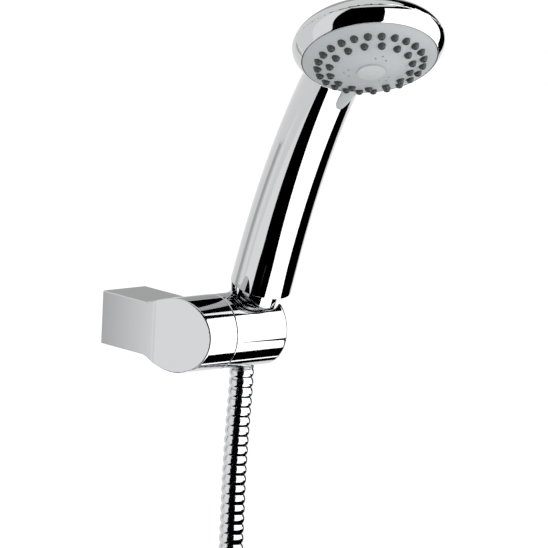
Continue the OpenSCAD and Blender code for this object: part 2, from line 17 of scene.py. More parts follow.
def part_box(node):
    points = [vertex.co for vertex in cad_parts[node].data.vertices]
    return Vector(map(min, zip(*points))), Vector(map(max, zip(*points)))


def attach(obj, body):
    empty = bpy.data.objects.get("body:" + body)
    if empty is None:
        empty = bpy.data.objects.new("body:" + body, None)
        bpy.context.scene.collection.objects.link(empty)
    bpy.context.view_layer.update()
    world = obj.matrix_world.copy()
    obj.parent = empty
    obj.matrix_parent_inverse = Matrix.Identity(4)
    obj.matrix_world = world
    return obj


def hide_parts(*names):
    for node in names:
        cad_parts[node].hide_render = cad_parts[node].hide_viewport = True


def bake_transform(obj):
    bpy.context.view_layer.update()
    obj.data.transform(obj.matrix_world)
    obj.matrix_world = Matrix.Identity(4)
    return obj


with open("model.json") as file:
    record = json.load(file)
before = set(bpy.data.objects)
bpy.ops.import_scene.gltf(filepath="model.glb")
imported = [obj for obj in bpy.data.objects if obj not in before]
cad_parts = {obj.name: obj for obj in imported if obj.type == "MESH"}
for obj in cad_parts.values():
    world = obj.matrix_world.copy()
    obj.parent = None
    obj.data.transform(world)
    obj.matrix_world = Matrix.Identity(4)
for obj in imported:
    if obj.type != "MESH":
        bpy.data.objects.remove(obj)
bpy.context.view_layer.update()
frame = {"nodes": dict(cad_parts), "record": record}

# %% [markdown]
# ## Camera
# The set is looked at from the front left and slightly from above, with a long lens.
# A long lens keeps the edges of the block and of the arm almost parallel. The camera
# is built from its own three directions, because it is also rolled a little.

# %% Camera
MM = 0.001
AIM_MM = Vector((-15.5, -59.0, -1.0))
VIEW_RIGHT = Vector((0.7677, -0.6408, 0.0))
VIEW_UP = Vector((0.1157, 0.1386, 0.9836))
VIEW_BACK = Vector((-0.6303, -0.7551, 0.1805))
ROLL = math.radians(2.56)
DISTANCE_MM = 10000.0
OFFSET_RIGHT_MM = 58.94
OFFSET_UP_MM = 35.11
SENSOR_MM = 36.0
LENS_PER_SENSOR = 32.847

right = (math.cos(ROLL) * VIEW_RIGHT + math.sin(ROLL) * VIEW_UP).normalized()
up = (-math.sin(ROLL) * VIEW_RIGHT + math.cos(ROLL) * VIEW_UP).normalized()
back = right.cross(up).normalized()
place_mm = (
    AIM_MM + OFFSET_RIGHT_MM * right + OFFSET_UP_MM * up + DISTANCE_MM * VIEW_BACK
)
camera_data = bpy.data.cameras.new("camera")
camera_data.sensor_width = SENSOR_MM
camera_data.lens = SENSOR_MM * LENS_PER_SENSOR
camera_data.clip_end = 200.0
camera = bpy.data.objects.new("camera", camera_data)
bpy.context.scene.collection.objects.link(camera)
turn = Matrix((right, up, back)).transposed().to_4x4()
camera.matrix_world = Matrix.Translation(place_mm * MM) @ turn
bpy.context.scene.camera = camera
print("camera at, m:", [round(v, 3) for v in camera.location])

# %% [markdown]
# ## Places to build in
# The handset leans and turns in its holder, and its face tilts again. Building each
# piece straight and then moving it is easier than building it at an angle. So the
# socket, the handset and the face each get a matrix into the set's own frame.

# %% Places
REACH = 59.0
ARM_R = 21.0
ARM_Z = -1.0
SOCKET_X = 43.2
LEAN = math.radians(18.0)
TWIST = math.radians(-22.6)
FACE_Y = -70.6
FACE_Z = 205.2
FACE_TURN = math.radians(123.0)

on_row = np.eye(4)
socket_matrix = Matrix.Translation((SOCKET_X, -REACH, ARM_Z)) @ Matrix.Rotation(
    LEAN, 4, "X"
)
handset_matrix = socket_matrix @ Matrix.Rotation(TWIST, 4, "Z")
face_in_handset = Matrix.Translation((0, FACE_Y, FACE_Z)) @ Matrix.Rotation(
    FACE_TURN, 4, "X"
)
on_socket = np.array(socket_matrix)
on_handset = np.array(handset_matrix)
on_face = np.array(handset_matrix @ face_in_handset)


def to_row(points_mm, place):
    """Points in mm at one of the places, as points in metres in the set's frame."""
    points = np.asarray(points_mm, float).reshape(-1, 3)
    return (points @ place[:3, :3].T + place[:3, 3]) * MM


print("face centre, mm:", np.round(to_row([0, 0, 0], on_face)[0] * 1000, 2))


# %% [markdown]
# ## Turning a list of points into an object
# Every piece below ends as points and faces. One helper makes the mesh, and it can
# take a normal for each point. A polished casting shows the smallest error in its
# normals, so exact normals matter more here than a dense mesh.

# %% Mesh helper
def add_piece(name, points, faces, body, material, nodes=(), normals=None):
    """Makes a mesh piece from points in metres, hangs it on its body, and hides the CAD parts it
    replaces.
    """
    mesh = bpy.data.meshes.new(name)
    mesh.from_pydata([tuple(p) for p in points], [], [tuple(map(int, f)) for f in faces])
    mesh.validate()
    mesh.shade_smooth()
    if normals is not None:
        mesh.normals_split_custom_set_from_vertices([tuple(n) for n in normals])
    mesh.materials.append(material)
    piece = bpy.data.objects.new(name, mesh)
    bpy.context.scene.collection.objects.link(piece)
    if body:
        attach(piece, body)
    if nodes:
        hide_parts(*nodes)
    print(f"{name}: {len(points)} points, {len(faces)} faces")
    return piece


# %% [markdown]
# ## Finishes
# The real set is almost all chrome plate, which is a smooth mirror with a little
# waviness from the casting or the moulding under it. A finish here is a Principled
# shader whose roughness and bump come from noise at that scale. The numbers that
# are the same all over a surface are set on the shader itself.

# %% Node helpers
def new_finish(name, colour, metallic=0.0, roughness=0.4):
    """A material with its nodes, its shader and its texture coordinates."""
    material = bpy.data.materials.new(name)
    material.use_nodes = True
    nodes = material.node_tree.nodes
    shader = nodes["Principled BSDF"]
    shader.inputs["Base Color"].default_value = (*colour, 1)
    shader.inputs["Metallic"].default_value = metallic
    shader.inputs["Roughness"].default_value = roughness
    place = nodes.new("ShaderNodeTexCoord")
    return material, nodes, material.node_tree.links, shader, place


def add_noise(nodes, links, place, scale, detail=3.0):
    """A noise texture laid on the object in metres."""
    noise = nodes.new("ShaderNodeTexNoise")
    noise.inputs["Scale"].default_value = scale
    noise.inputs["Detail"].default_value = detail
    links.new(place.outputs["Object"], noise.inputs["Vector"])
    return noise


def spread(nodes, links, source, low, high):
    """Maps a grey value of 0.3 to 0.7 onto a range."""
    ramp = nodes.new("ShaderNodeMapRange")
    ramp.inputs["From Min"].default_value = 0.3
    ramp.inputs["From Max"].default_value = 0.7
    ramp.inputs["To Min"].default_value = low
    ramp.inputs["To Max"].default_value = high
    links.new(source, ramp.inputs["Value"])
    return ramp.outputs["Result"]


def tint(nodes, links, source, dark, light):
    """Mixes two colours by a grey value."""
    mix = nodes.new("ShaderNodeMix")
    mix.data_type = "RGBA"
    mix.inputs["A"].default_value = (*dark, 1)
    mix.inputs["B"].default_value = (*light, 1)
    links.new(source, mix.inputs["Factor"])
    return mix.outputs["Result"]


def add_bump(nodes, links, shader, source, strength, distance):
    """A bump from a grey value, with its height in metres."""
    bump = nodes.new("ShaderNodeBump")
    bump.inputs["Strength"].default_value = strength
    bump.inputs["Distance"].default_value = distance
    links.new(source, bump.inputs["Height"])
    links.new(bump.outputs["Normal"], shader.inputs["Normal"])
    return bump


# %% Chrome finishes
def chrome_finish(name, colour, rough, wave_scale, wave_height, fine=900.0):
    """Chrome plate: a mirror with slow waves and a fine change of gloss."""
    material, nodes, links, shader, place = new_finish(name, colour, 1.0, rough)
    wave = add_noise(nodes, links, place, wave_scale, 1.0)
    film = add_noise(nodes, links, place, fine, 4.0)
    links.new(
        spread(nodes, links, film.outputs["Fac"], rough * 0.7, rough * 1.5),
        shader.inputs["Roughness"],
    )
    deep = tuple(c * 0.97 for c in colour)
    links.new(
        tint(nodes, links, wave.outputs["Fac"], deep, colour),
        shader.inputs["Base Color"],
    )
    add_bump(nodes, links, shader, wave.outputs["Fac"], 0.25, wave_height)
    return material


cast_chrome = chrome_finish("cast_chrome", (0.585, 0.59, 0.6), 0.045, 28.0, 0.00003)
moulded_chrome = chrome_finish("moulded_chrome", (0.58, 0.585, 0.59), 0.03, 22.0, 0.00002)
turned_chrome = chrome_finish("turned_chrome", (0.6, 0.605, 0.615), 0.05, 60.0, 0.00002)
hose_chrome = chrome_finish("hose_chrome", (0.6, 0.61, 0.62), 0.11, 140.0, 0.00004, 1800.0)
print("chrome finishes:", 4)


# %% [markdown]
# The face is a satin light-grey plastic, and the nozzles are dark silicone that can
# be rubbed clean of lime. Satin plastic scatters its highlight, so its roughness is
# high and a fine grain breaks it up. Silicone is duller, and its colour less even.

# %% Plastic and rubber finishes
def moulded_finish(name, colour, rough, grain_scale, grain_height, variation=0.06):
    """A moulded plastic or rubber: fine grain, and slow changes of colour and gloss."""
    material, nodes, links, shader, place = new_finish(name, colour, 0.0, rough)
    slow = add_noise(nodes, links, place, 45.0, 2.0)
    grain = add_noise(nodes, links, place, grain_scale, 3.0)
    dark = tuple(c * (1 - variation) for c in colour)
    links.new(
        tint(nodes, links, slow.outputs["Fac"], dark, colour), shader.inputs["Base Color"]
    )
    links.new(
        spread(nodes, links, slow.outputs["Fac"], rough * 0.9, min(1.0, rough * 1.12)),
        shader.inputs["Roughness"],
    )
    add_bump(nodes, links, shader, grain.outputs["Fac"], 0.35, grain_height)
    return material


satin_grey = moulded_finish("satin_grey", (0.35, 0.372, 0.382), 0.42, 2600.0, 0.00003, 0.04)
lever_grey = moulded_finish("lever_grey", (0.4, 0.42, 0.428), 0.38, 2600.0, 0.00003, 0.04)
silicone = moulded_finish("silicone", (0.035, 0.042, 0.044), 0.5, 1800.0, 0.00004, 0.3)
black_rubber = moulded_finish("black_rubber", (0.012, 0.012, 0.012), 0.6, 1500.0, 0.00005, 0.3)
natural_plastic = moulded_finish("natural_plastic", (0.6, 0.6, 0.56), 0.45, 900.0, 0.00004)
dark_moulding = moulded_finish("dark_moulding", (0.02, 0.02, 0.022), 0.5, 1200.0, 0.00004, 0.25)
print("plastic and rubber finishes:", 6)


# %% [markdown]
# The plain metals are inside, and show only at the ends and at the back. Turned
# brass and steel have fine rings from the cutting tool. A wave texture with close
# rings gives them, in the roughness as well as in the bump.

# %% Machined metal finishes
def machined_finish(name, colour, rough, ring_scale):
    """Turned metal: fine tool marks and a slow change of colour."""
    material, nodes, links, shader, place = new_finish(name, colour, 1.0, rough)
    rings = nodes.new("ShaderNodeTexWave")
    rings.wave_type = "RINGS"
    rings.inputs["Scale"].default_value = ring_scale
    rings.inputs["Distortion"].default_value = 0.4
    links.new(place.outputs["Object"], rings.inputs["Vector"])
    stain = add_noise(nodes, links, place, 90.0, 3.0)
    dark = tuple(c * 0.8 for c in colour)
    links.new(
        tint(nodes, links, stain.outputs["Fac"], dark, colour), shader.inputs["Base Color"]
    )
    links.new(
        spread(nodes, links, rings.outputs["Fac"], rough * 0.8, rough * 1.3),
        shader.inputs["Roughness"],
    )
    add_bump(nodes, links, shader, rings.outputs["Fac"], 0.2, 0.00003)
    return material


bare_steel = machined_finish("bare_steel", (0.5, 0.5, 0.52), 0.3, 600.0)
bare_brass = machined_finish("bare_brass", (0.72, 0.53, 0.26), 0.28, 600.0)


def woven_finish(name, colour):
    """A woven strap: two crossed waves make the over and under of the threads."""
    material, nodes, links, shader, place = new_finish(name, colour, 0.0, 0.85)
    threads = []
    for direction in ("X", "Z"):
        wave = nodes.new("ShaderNodeTexWave")
        wave.bands_direction = direction
        wave.inputs["Scale"].default_value = 420.0
        links.new(place.outputs["Object"], wave.inputs["Vector"])
        threads.append(wave)
    weave = nodes.new("ShaderNodeMath")
    weave.operation = "MULTIPLY"
    for socket, wave in zip(weave.inputs, threads):
        links.new(wave.outputs["Fac"], socket)
    links.new(
        tint(nodes, links, weave.outputs["Value"], colour, tuple(3 * c for c in colour)),
        shader.inputs["Base Color"],
    )
    add_bump(nodes, links, shader, weave.outputs["Value"], 0.7, 0.0003)
    shader.inputs["Sheen Weight"].default_value = 0.3
    return material


strap_weave = woven_finish("strap_weave", (0.012, 0.012, 0.013))
print("metal and strap finishes:", 3)


# %% [markdown]
# ## The hose
# A shower hose is a strip of metal rolled round a soft tube, so that it shows as a
# row of rounded ribs. It leaves the nut, hangs down, and the length that is not in
# use is wound into a coil and tied. One smooth line is made first, close to the
# points of the CAD route. The ribs are then swept along it with a frame that never
# twists.

# %% Hose line
HOSE_ROUTE = [
    (43.2, -53.2, -15), (43.2, -53.7, -28), (43.2, -53.2, -40), (43.2, -52.4, -52),
    (43.2, -51.8, -64), (43.2, -51.3, -76), (43.2, -51, -88), (43.2, -51, -100),
    (43.2, -51, -114), (43.2, -51, -132), (43.2, -51, -150), (40, -51, -168.5),
    (31.5, -51, -185.5), (18.5, -51, -198.5), (1, -51, -207.5), (-16, -51, -216),
    (-29.5, -51, -229), (-38, -51, -246),
]
COIL_CENTRE = (43.2, -51.0, -264.5)
COIL_R = 84.0
COIL_TURNS = 2.125
TURN_PITCH = 16.0
TAIL_ROUTE = [
    (-8, -85, -333), (-2, -85, -344), (0.9, -85, -355), (1.2, -85, -366),
]


def coil_points(count):
    """The turns of the coil, from its left side down and round towards the room."""
    x, y, z = COIL_CENTRE
    part = np.linspace(0.0, 1.0, count)
    angle = math.pi + part * COIL_TURNS * 2 * math.pi
    return np.column_stack(
        [x + COIL_R * np.cos(angle), y - TURN_PITCH * COIL_TURNS * part,
         z + COIL_R * np.sin(angle)]
    )


def smooth_line(points, step, rounds=4):
    """A smooth line through the points, cut into equal steps."""
    points = np.asarray(points, float)
    ends = [2 * points[0] - points[1], 2 * points[-1] - points[-2]]
    path = np.vstack([ends[0], points, ends[1]])
    t = np.linspace(0, 1, 24, endpoint=False)[:, None]
    parts = []
    for a, b, c, d in zip(path, path[1:], path[2:], path[3:]):
        parts.append(
            0.5 * (2 * b + (c - a) * t + (2 * a - 5 * b + 4 * c - d) * t**2
                   + (3 * b - a - 3 * c + d) * t**3)
        )
    line = np.vstack(parts + [points[-1:]])
    for _ in range(2):
        length = np.r_[0, np.cumsum(np.linalg.norm(np.diff(line, axis=0), axis=1))]
        at = np.linspace(0, length[-1], max(2, int(round(length[-1] / step)) + 1))
        line = np.column_stack([np.interp(at, length, line[:, k]) for k in range(3)])
        for _ in range(rounds):
            line[1:-1] = 0.25 * line[:-2] + 0.5 * line[1:-1] + 0.25 * line[2:]
    return line


hose_line = smooth_line(
    np.vstack([HOSE_ROUTE, coil_points(64), TAIL_ROUTE]), 0.7, rounds=40
)
hose_length = np.linalg.norm(np.diff(hose_line, axis=0), axis=1).sum()
print("hose line, mm:", round(float(hose_length), 1))


# %% Ribbed tube helper
def unturned_frames(line):
    """Two directions across the line at each point, carried along it without twist."""
    along = np.gradient(line, axis=0)
    along /= np.linalg.norm(along, axis=1)[:, None]
    side = np.cross(along[0], [0.0, 1.0, 0.0])
    side /= np.linalg.norm(side)
    sides = [side]
    for direction in along[1:]:
        side = side - direction * (side @ direction)
        side = side / np.linalg.norm(side)
        sides.append(side)
    sides = np.array(sides)
    return along, sides, np.cross(along, sides)


def swept_tube(line, radii, sides=24):
    """Points, faces and normals of a tube with a radius at each point of its line."""
    along, across, over = unturned_frames(line)
    angle = np.linspace(0, 2 * math.pi, sides, endpoint=False)
    ring = (
        across[:, None] * np.cos(angle)[None, :, None]
        + over[:, None] * np.sin(angle)[None, :, None]
    )
    points = (line[:, None] + ring * np.asarray(radii)[:, None, None]).reshape(-1, 3)
    step = np.linalg.norm(np.gradient(line, axis=0), axis=1)
    slope = np.gradient(np.asarray(radii)) / step
    normals = ring - along[:, None] * slope[:, None, None]
    normals /= np.linalg.norm(normals, axis=2)[:, :, None]
    count = len(line)
    first = np.arange(count - 1)[:, None] * sides + np.arange(sides)[None]
    after = np.arange(count - 1)[:, None] * sides + (np.arange(sides)[None] + 1) % sides
    faces = np.stack([first, after, after + sides, first + sides], -1).reshape(-1, 4)
    return points, faces, normals.reshape(-1, 3)


def rib_radii(length_along, pitch, top_r, valley_r):
    """Rounded ribs with narrow valleys between them."""
    phase = np.abs(np.sin(math.pi * length_along / pitch))
    return valley_r + (top_r - valley_r) * phase**0.7


# %% Hose
HOSE_R = 7.0
RIB_PITCH = 5.6
RIB_VALLEY_R = 6.0
NECK_SPLIT_Z = -24.0

below_neck = hose_line[:, 2] < NECK_SPLIT_Z
free_line = hose_line[np.argmax(below_neck):]
free_at = np.r_[0, np.cumsum(np.linalg.norm(np.diff(free_line, axis=0), axis=1))]
tube = swept_tube(free_line, rib_radii(free_at, RIB_PITCH, HOSE_R, RIB_VALLEY_R))
hose = add_piece(
    "hose_ribbed", tube[0] * MM, tube[1], None, hose_chrome,
    ["hose_tube", "hose_coil", "hose_tail"], tube[2],
)
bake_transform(hose)

# %% [markdown]
# The last few ribs sit inside the holder's foot, right under the nut. When the handset is lifted
# out, its hose comes with it.
# A short length with close ribs stands there between the nut and the hanging hose. A real hose
# is pulled through instead.

# %% Hose neck
NECK_RIBS = 8
neck_line = np.array([(43.2, -53.4, z) for z in np.linspace(-18.2, -24.4, 97)])
neck_line[:, 1] = np.interp(neck_line[:, 2], [-24.4, -18.2], [free_line[0][1], -53.4])
neck_at = np.linspace(0, NECK_RIBS, len(neck_line))
neck = swept_tube(neck_line, rib_radii(neck_at, 1.0, HOSE_R - 0.1, RIB_VALLEY_R))
hose_neck = add_piece(
    "hose_neck", neck[0] * MM, neck[1], None, hose_chrome, (), neck[2]
)
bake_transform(hose_neck)


# %% [markdown]
# ## Turned pieces
# The cone nut, the ring round the face and the nozzles are turned or moulded round.
# Each is an outline spun about its own axis, with short arcs at its edges. An
# edge that catches the light is what makes a turned piece read as metal.

# %% Spun outline helper
def rounded(outline, radius, steps=3):
    """The same outline with its inner corners cut by short arcs."""
    outline = [np.array(p, float) for p in outline]
    result = [outline[0]]
    for a, b, c in zip(outline, outline[1:], outline[2:]):
        one, two = a - b, c - b
        reach = min(radius, 0.45 * np.linalg.norm(one), 0.45 * np.linalg.norm(two))
        start = b + one / max(np.linalg.norm(one), 1e-9) * reach
        stop = b + two / max(np.linalg.norm(two), 1e-9) * reach
        for t in np.linspace(0, 1, steps + 1):
            result.append((1 - t) ** 2 * start + 2 * t * (1 - t) * b + t * t * stop)
    return np.array(result + [outline[-1]])


def spun(outline, sides=96):
    """Points, faces and normals of an outline of radius and height, spun round Z."""
    outline = np.asarray(outline, float)
    angle = np.linspace(0, 2 * math.pi, sides, endpoint=False)
    turn_x, turn_y = np.cos(angle), np.sin(angle)
    points = np.stack(
        [outline[:, :1] * turn_x, outline[:, :1] * turn_y,
         np.repeat(outline[:, 1:], sides, 1)], -1
    ).reshape(-1, 3)
    along = np.gradient(outline, axis=0)
    out_r, out_z = along[:, 1], -along[:, 0]
    size = np.maximum(np.hypot(out_r, out_z), 1e-9)
    normals = np.stack(
        [(out_r / size)[:, None] * turn_x, (out_r / size)[:, None] * turn_y,
         np.repeat((out_z / size)[:, None], sides, 1)], -1
    ).reshape(-1, 3)
    k = np.arange(len(outline) - 1)[:, None] * sides
    first, after = k + np.arange(sides), k + (np.arange(sides) + 1) % sides
    faces = np.stack([first, after, after + sides, first + sides], -1).reshape(-1, 4)
    return points, faces, normals


def spun_piece(name, outline, place, body, material, nodes=(), sides=96):
    """A spun outline, listed from its foot up its outside, made into a piece."""
    points, faces, normals = spun(outline, sides)
    normals = normals @ place[:3, :3].T
    return add_piece(
        name, to_row(points, place), faces, body, material, nodes, normals
    )


# %% [markdown]
# The cone nut holds the hose on the handset, and its cone sits in the holder. It is
# longer than the socket, so a short length of it shows below the handle. The real
# one is plated brass, and its straight cone gives clean upright bands of light.

# %% Cone nut
CONE_BOT_R, CONE_TOP_R = 9.4, 10.9
NUT_BOT, HANDLE_BOT, NUT_TOP = -18.0, 27.0, 41.0
COLLAR_R = 12.3
nut_outline = rounded(
    [(6.2, NUT_BOT + 4), (6.2, NUT_BOT), (CONE_BOT_R, NUT_BOT), (CONE_TOP_R, HANDLE_BOT),
     (COLLAR_R, HANDLE_BOT + 0.2), (COLLAR_R, NUT_TOP), (10.0, NUT_TOP)], 0.5
)
cone_nut = spun_piece(
    "hose_cone_nut_turned", nut_outline, on_handset, "handset",
    turned_chrome, ["hose_cone_nut"],
)


# %% [markdown]
# ## Castings
# The handle flows into the head without an edge, and the block flows into the arm
# through a fillet. A subdivided cage would ripple in a mirror finish. So each casting
# is described as a distance: a formula that is negative inside and positive outside.
# A grid finds where it is zero, and every point is then moved onto the exact surface
# and takes its normal from the formula.

# %% Distance helpers
def round_join(a, b, radius):
    """Two shapes joined with a fillet of this radius."""
    u, v = np.maximum(radius - a, 0), np.maximum(radius - b, 0)
    return np.maximum(radius, np.minimum(a, b)) - np.hypot(u, v)


def round_cut(a, b, radius):
    """What is inside both shapes, with its edge rounded to this radius."""
    u, v = np.maximum(radius + a, 0), np.maximum(radius + b, 0)
    return np.minimum(-radius, np.maximum(a, b)) + np.hypot(u, v)


def box_2d(x, y, half_x, half_y):
    """Distance to a rectangle round the origin."""
    dx, dy = np.abs(x) - half_x, np.abs(y) - half_y
    return np.hypot(np.maximum(dx, 0), np.maximum(dy, 0)) + np.minimum(np.maximum(dx, dy), 0)


# %% Grid to surface
def cast_surface(field, low, high, step):
    """Points, faces and normals of the zero surface of a distance, in mm."""
    axes = [np.arange(a, b + step, step) for a, b in zip(low, high)]
    shape = tuple(len(a) for a in axes)
    plane = np.stack(np.meshgrid(axes[1], axes[2], indexing="ij"), -1).reshape(-1, 2)
    value = np.empty(shape)
    for i, x in enumerate(axes[0]):
        value[i] = field(np.column_stack([np.full(len(plane), x), plane])).reshape(shape[1:])
    inside = value < 0
    corners = sum(
        inside[i:shape[0] - 1 + i, j:shape[1] - 1 + j, k:shape[2] - 1 + k].astype(int)
        for i in (0, 1) for j in (0, 1) for k in (0, 1)
    )
    mixed = (corners > 0) & (corners < 8)
    cells = np.argwhere(mixed)
    number = np.full(mixed.shape, -1)
    number[mixed] = np.arange(len(cells))
    total, count = np.zeros((len(cells), 3)), np.zeros(len(cells))
    unit = np.eye(3, dtype=int)
    for axis in range(3):
        u, w = (axis + 1) % 3, (axis + 2) % 3
        for move in ((0, 0), (1, 0), (0, 1), (1, 1)):
            start = cells + move[0] * unit[u] + move[1] * unit[w]
            a = value[tuple(start.T)]
            b = value[tuple((start + unit[axis]).T)]
            crossed = (a < 0) != (b < 0)
            part = np.where(crossed, a / np.where(crossed, a - b, 1), 0)
            total += np.where(crossed[:, None], start + part[:, None] * unit[axis], 0)
            count += crossed
    points = np.array(low, float) + step * total / count[:, None]
    faces = []
    for axis in range(3):
        u, w = (axis + 1) % 3, (axis + 2) % 3
        first = np.take(inside, range(shape[axis] - 1), axis)
        after = np.take(inside, range(1, shape[axis]), axis)
        edge = np.argwhere(first != after)
        keep = (edge[:, u] > 0) & (edge[:, w] > 0)
        keep &= (edge[:, u] < shape[u] - 1) & (edge[:, w] < shape[w] - 1)
        edge = edge[keep]
        quad = np.stack(
            [number[tuple((edge - m).T)]
             for m in (unit[u] + unit[w], unit[w], 0 * unit[u], unit[u])], -1,
        )
        outward = first[tuple(edge.T)]
        faces.append(np.where(outward[:, None], quad, quad[:, ::-1]))
    faces = np.vstack(faces)
    faces = faces[(faces >= 0).all(1)]
    points, normals = settle(field, points, step)
    return points, faces, normals


def settle(field, points, step):
    """Moves the points onto the zero surface, and reads the normals there."""
    small = 0.02

    def slope(at):
        return np.stack([field(at + d) - field(at - d) for d in np.eye(3) * small], 1) / (
            2 * small
        )

    for _ in range(4):
        g = slope(points)
        move = (field(points) / np.maximum((g * g).sum(1), 0.2))[:, None] * g
        size = np.linalg.norm(move, axis=1)[:, None]
        points = points - move * np.minimum(1, 0.5 * step / np.maximum(size, 1e-9))
    g = slope(points)
    return points, g / np.maximum(np.linalg.norm(g, axis=1), 1e-9)[:, None]


def cast_piece(name, field, low, high, step, place, body, material, nodes):
    """A casting described by its distance, made into a piece."""
    points, faces, normals = cast_surface(field, low, high, step)
    return add_piece(
        name, to_row(points, place), faces, body, material, nodes,
        normals @ place[:3, :3].T,
    )


# %% [markdown]
# ## The handset
# The handle is a straight round tube at its foot, curves forward on a wide arc, and
# tightens its curve just below the head. There it thins out into the back of the
# bowl. The bowl is half of a flattened ball. The real piece is one plastic moulding
# under its chrome, so handle and bowl are one surface here too.

# %% Handset shape
HANDLE_BACK = 0.6
CURVE_START = 46.0
CURVE_R = 330.0
CURVE_TURN = math.radians(24.0)
NECK_CURVE_R = 120.0
NECK_TURN = math.radians(36.5)
HEAD_R = 42.3
BOWL_FRONT = 8.7
BOWL_DEPTH = 17.0

HANDLE_R = 17.3
radius_knots = [
    (-40, HANDLE_R), (-19, HANDLE_R), (115, 16.2), (142, 15.9), (155, 13.2), (171, 9.2),
    (190, 5.5), (240, 4.0),
]
BLUR_REACH, BLUR_WIDTH = 48, 20.0
fine_at = np.linspace(-60, 260, 1281)
fine_r = np.interp(fine_at, *zip(*radius_knots))
kernel = np.exp(-0.5 * (np.arange(-BLUR_REACH, BLUR_REACH + 1) / BLUR_WIDTH) ** 2)
fine_r = np.convolve(np.pad(fine_r, BLUR_REACH, mode="edge"), kernel / kernel.sum(), "valid")
HANDLE_END = 192.0

curve_centre = np.array([HANDLE_BACK - CURVE_R, CURVE_START])
turn_out = np.array([math.cos(CURVE_TURN), math.sin(CURVE_TURN)])
neck_centre = curve_centre + (CURVE_R - NECK_CURVE_R) * turn_out
neck_out = np.array([math.cos(NECK_TURN), math.sin(NECK_TURN)])
neck_along = np.array([-neck_out[1], neck_out[0]])
neck_at_mm = CURVE_R * CURVE_TURN
nose_at_mm = neck_at_mm + NECK_CURVE_R * (NECK_TURN - CURVE_TURN)
face_back = np.linalg.inv(np.array(face_in_handset))


def handle_axis(y, z):
    """How far a point is from the handle's line in its own plane, and how far along it."""
    off, at = y - HANDLE_BACK, z - CURVE_START
    for centre, radius, begin, begin_at in (
        (curve_centre, CURVE_R, 0.0, 0.0),
        (neck_centre, NECK_CURVE_R, CURVE_TURN, neck_at_mm),
    ):
        angle = np.arctan2(z - centre[1], y - centre[0])
        here = (angle > begin) & (angle < 2.5)
        off = np.where(here, np.hypot(y - centre[0], z - centre[1]) - radius, off)
        at = np.where(here, begin_at + radius * (angle - begin), at)
    rel_y, rel_z = y - neck_centre[0], z - neck_centre[1]
    past = rel_y * neck_along[0] + rel_z * neck_along[1]
    straight = past > 0
    off = np.where(straight, rel_y * neck_out[0] + rel_z * neck_out[1] - NECK_CURVE_R, off)
    at = np.where(straight, nose_at_mm + past, at)
    return off, at


def handset_distance(p):
    """The handle joined to the bowl behind the face."""
    off, at = handle_axis(p[:, 1], p[:, 2])
    beyond = np.maximum(at - HANDLE_END, 0)
    radius = np.interp(at, fine_at, fine_r)
    handle = np.sqrt(p[:, 0] ** 2 + off**2 + beyond**2) - radius
    q = p @ face_back[:3, :3].T + face_back[:3, 3]
    squashed = q - [0, 0, -BOWL_FRONT]
    half = np.array([HEAD_R, HEAD_R, BOWL_DEPTH])
    k0 = np.linalg.norm(squashed / half, axis=1)
    k1 = np.linalg.norm(squashed / half**2, axis=1)
    bowl = k0 * (k0 - 1) / np.maximum(k1, 1e-6)
    bowl = round_cut(bowl, q[:, 2] + BOWL_FRONT - 0.05, 0.3)
    behind_plate = np.minimum(q[:, 2] + 3.4, 40.6 - np.hypot(q[:, 0], q[:, 1]))
    handle = round_cut(handle, behind_plate, 0.4)
    return round_join(handle, bowl, 6.0)


handset_points, handset_faces, handset_normals = cast_surface(
    handset_distance, (-46, -98, 24.0), (46, 24, 248), 1.1
)
print("handset surface:", len(handset_points), "points")

# %% [markdown]
# The grid leaves the handle's foot ragged, so it is cut off square with bisect. The
# rim is then a spun piece with a small radius, and a sleeve that goes up inside.

# %% Handset object
mesh = bpy.data.meshes.new("handset_work")
mesh.from_pydata(handset_points.tolist(), [], handset_faces.tolist())
work = bmesh.new()
work.from_mesh(mesh)
bmesh.ops.bisect_plane(
    work, geom=work.verts[:] + work.edges[:] + work.faces[:], dist=0.0005,
    plane_co=(0, 0, HANDLE_BOT), plane_no=(0, 0, -1), clear_outer=True,
)
cut_points = np.array([v.co[:] for v in work.verts])
work.verts.index_update()
cut_faces = [[v.index for v in f.verts] for f in work.faces]
work.free()
bpy.data.meshes.remove(mesh)
rim = np.abs(cut_points[:, 2] - HANDLE_BOT) < 0.001
settled, cut_normals = settle(handset_distance, cut_points, 1.0)
settled[rim, 2] = HANDLE_BOT
handset_skin = add_piece(
    "handset_skin", to_row(settled, on_handset), cut_faces, "handset",
    moulded_chrome, ["handle_shell", "head_shell"], cut_normals @ on_handset[:3, :3].T,
)

rim_outline = rounded(
    [(14.8, HANDLE_BOT + 13), (14.8, HANDLE_BOT - 0.15), (HANDLE_R, HANDLE_BOT - 0.15),
     (HANDLE_R, HANDLE_BOT + 0.3)], 0.35
)
at_handle = on_handset @ np.array(Matrix.Translation((0, HANDLE_BACK, 0)))
handle_rim = spun_piece(
    "handle_rim", rim_outline, at_handle, "handset", moulded_chrome
)

# %% [markdown]
# The ring round the face is a separate chrome part that clips the face into the
# bowl. Its outside bulges a little towards the bowl, and its front edge is thin.

# %% Head ring
RING_BORE = 37.65
ring_steps = 14
ring_outline = [
    (RING_BORE, -8.5), (RING_BORE, -0.15), (RING_BORE + 0.12, 0.0), (RING_BORE + 0.3, -0.02)
]
for i in range(1, ring_steps + 1):
    share = i / ring_steps
    bulge = (HEAD_R - RING_BORE - 0.35) * math.sin(math.pi / 2 * share)
    ring_outline.append((RING_BORE + 0.35 + bulge, -8.6 * share))
ring_outline = ring_outline[::-1]
head_ring = spun_piece(
    "head_ring_spun", ring_outline, on_face, "handset",
    moulded_chrome, ["head_ring"], sides=144,
)


# %% [markdown]
# ## The face
# The plate is a shallow dome, and 39 silicone nozzles stand out of it in two rings.
# Each nozzle is a tapered cup with a rounded lip and a small bore. One nozzle is
# spun, then copied round each ring along the spray direction.

